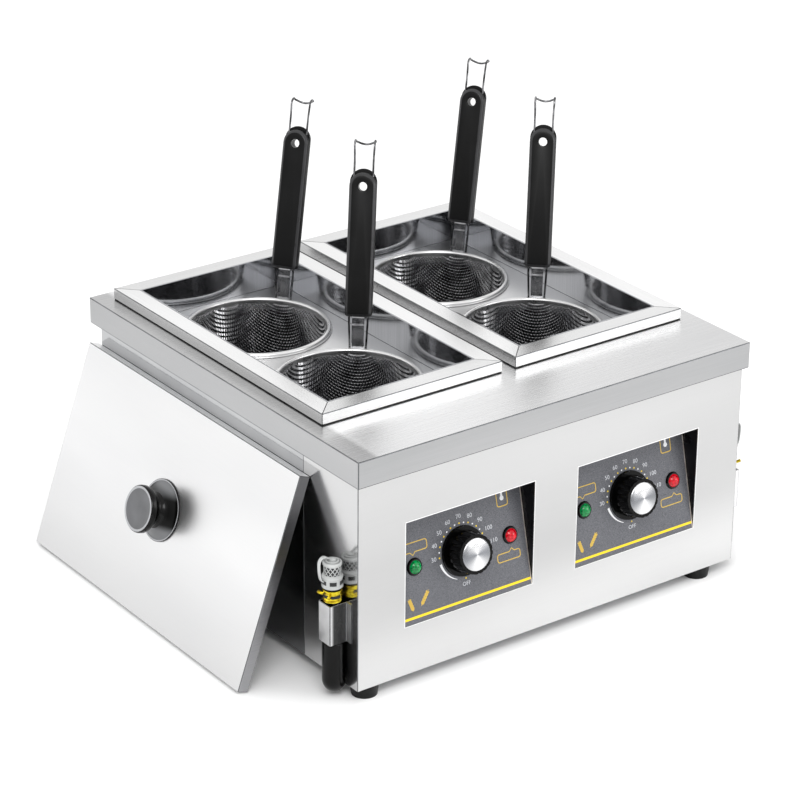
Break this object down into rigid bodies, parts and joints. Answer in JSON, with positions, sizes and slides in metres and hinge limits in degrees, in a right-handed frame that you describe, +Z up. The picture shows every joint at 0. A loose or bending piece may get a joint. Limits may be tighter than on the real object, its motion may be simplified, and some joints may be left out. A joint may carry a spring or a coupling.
{
  "type": "pasta cooker",
  "caption": "Countertop electric pasta cooker in stainless steel with twin tanks, lift-out mesh baskets on long handles, tilted dial panels, side drain hoses and a lid leaning on its side.",
  "frame": {"origin": "on the table, under the middle of the whole object's width and depth, with the leaning lid and the drain hoses counted", "axes": "+X to the right along the front, +Y to the back, +Z up; the control panels face -Y"},
  "size_m": [0.584, 0.4862, 0.4376],
  "materials": {
    "brushed_steel_sheet": "brushed",
    "polished_steel_sheet": "satin",
    "bright_steel_wire": "polished",
    "woven_steel_mesh": "satin",
    "black_plastic": "satin",
    "spun_aluminium": "spun",
    "plain_steel": "satin",
    "printed_panel": "printed matt film",
    "thermostat_case": "matt",
    "green_lens": "glossy",
    "red_lens": "glossy",
    "element_steel": "oxidised",
    "terminal_plastic": "matt",
    "cable_plastic": "matt",
    "black_rubber": "matt",
    "yellow_zinc": "yellow passivated",
    "white_plastic": "satin"
  },
  "bodies": {
    "cabinet": {"worktop": "brushed_steel_sheet", "front_fascia": "brushed_steel_sheet", "left_side_panel": "brushed_steel_sheet", "right_side_panel": "brushed_steel_sheet", "back_panel": "brushed_steel_sheet", "bottom_plate": "brushed_steel_sheet", "left_tank": "polished_steel_sheet", "right_tank": "polished_steel_sheet", "tank_rims": "polished_steel_sheet", "rim_seals": "black_rubber", "plate_lugs": "brushed_steel_sheet", "panel_pockets": "brushed_steel_sheet", "control_panels": "printed_panel", "thermostats": "thermostat_case", "lamp_bodies": "black_plastic", "green_lenses": "green_lens", "red_lenses": "red_lens", "elements": "element_steel", "terminal_block": "terminal_plastic", "wiring": "cable_plastic", "feet": "black_rubber", "screws": "plain_steel", "cable_gland": "cable_plastic", "drain_hoses": "black_rubber", "hose_holders": "brushed_steel_sheet", "hose_clamps": "yellow_zinc", "hose_ends": "white_plastic"},
    "left_plate": {"left_basket_plate": "polished_steel_sheet"},
    "right_plate": {"right_basket_plate": "polished_steel_sheet"},
    "basket_1": {"basket_1_ring": "bright_steel_wire", "basket_1_mesh": "woven_steel_mesh", "basket_1_bracket": "bright_steel_wire", "basket_1_wire": "bright_steel_wire", "basket_1_grip": "black_plastic"},
    "basket_2": {"basket_2_ring": "bright_steel_wire", "basket_2_mesh": "woven_steel_mesh", "basket_2_bracket": "bright_steel_wire", "basket_2_wire": "bright_steel_wire", "basket_2_grip": "black_plastic"},
    "basket_3": {"basket_3_ring": "bright_steel_wire", "basket_3_mesh": "woven_steel_mesh", "basket_3_bracket": "bright_steel_wire", "basket_3_wire": "bright_steel_wire", "basket_3_grip": "black_plastic"},
    "basket_4": {"basket_4_ring": "bright_steel_wire", "basket_4_mesh": "woven_steel_mesh", "basket_4_bracket": "bright_steel_wire", "basket_4_wire": "bright_steel_wire", "basket_4_grip": "black_plastic"},
    "left_thermostat_knob": {"left_knob": "black_plastic", "left_knob_cap": "spun_aluminium", "left_shaft": "plain_steel"},
    "right_thermostat_knob": {"right_knob": "black_plastic", "right_knob_cap": "spun_aluminium", "right_shaft": "plain_steel"},
    "left_cap": {"left_drain_cap": "white_plastic"},
    "right_cap": {"right_drain_cap": "white_plastic"},
    "lid": {"lid": "brushed_steel_sheet", "lid_knob": "black_plastic", "lid_screw": "plain_steel"}
  },
  "joints": [
    {"name": "left_knob_turn", "type": "hinge", "parent": "cabinet", "child": "left_thermostat_knob", "pos_m": [-0.07481, -0.22065, 0.11881], "axis": [0, 0.9732, -0.23], "range_deg": [0, 270]},
    {"name": "left_plate_lift", "type": "slide", "parent": "cabinet", "child": "left_plate", "axis": [0, 0, 1], "range_m": [0, 0.06]},
    {"name": "left_cap_pull", "type": "slide", "parent": "cabinet", "child": "left_cap", "axis": [0, 0, 1], "range_m": [0, 0.03]},
    {"name": "right_knob_turn", "type": "hinge", "parent": "cabinet", "child": "right_thermostat_knob", "pos_m": [0.13319, -0.22065, 0.11881], "axis": [0, 0.9732, -0.23], "range_deg": [0, 270]},
    {"name": "right_plate_lift", "type": "slide", "parent": "cabinet", "child": "right_plate", "axis": [0, 0, 1], "range_m": [0, 0.06]},
    {"name": "right_cap_pull", "type": "slide", "parent": "cabinet", "child": "right_cap", "axis": [0, 0, 1], "range_m": [0, 0.03]},
    {"name": "basket_1_lift", "type": "slide", "parent": "left_plate", "child": "basket_1", "axis": [0, 0, 1], "range_m": [0, 0.19]},
    {"name": "basket_2_lift", "type": "slide", "parent": "left_plate", "child": "basket_2", "axis": [0, 0, 1], "range_m": [0, 0.19]},
    {"name": "basket_3_lift", "type": "slide", "parent": "right_plate", "child": "basket_3", "axis": [0, 0, 1], "range_m": [0, 0.19]},
    {"name": "basket_4_lift", "type": "slide", "parent": "right_plate", "child": "basket_4", "axis": [0, 0, 1], "range_m": [0, 0.19]},
    {"name": "lid_take_away", "type": "slide", "parent": "cabinet", "child": "lid", "axis": [-0.5, 0, 0.866], "range_m": [0, 0.3]}
  ]
}
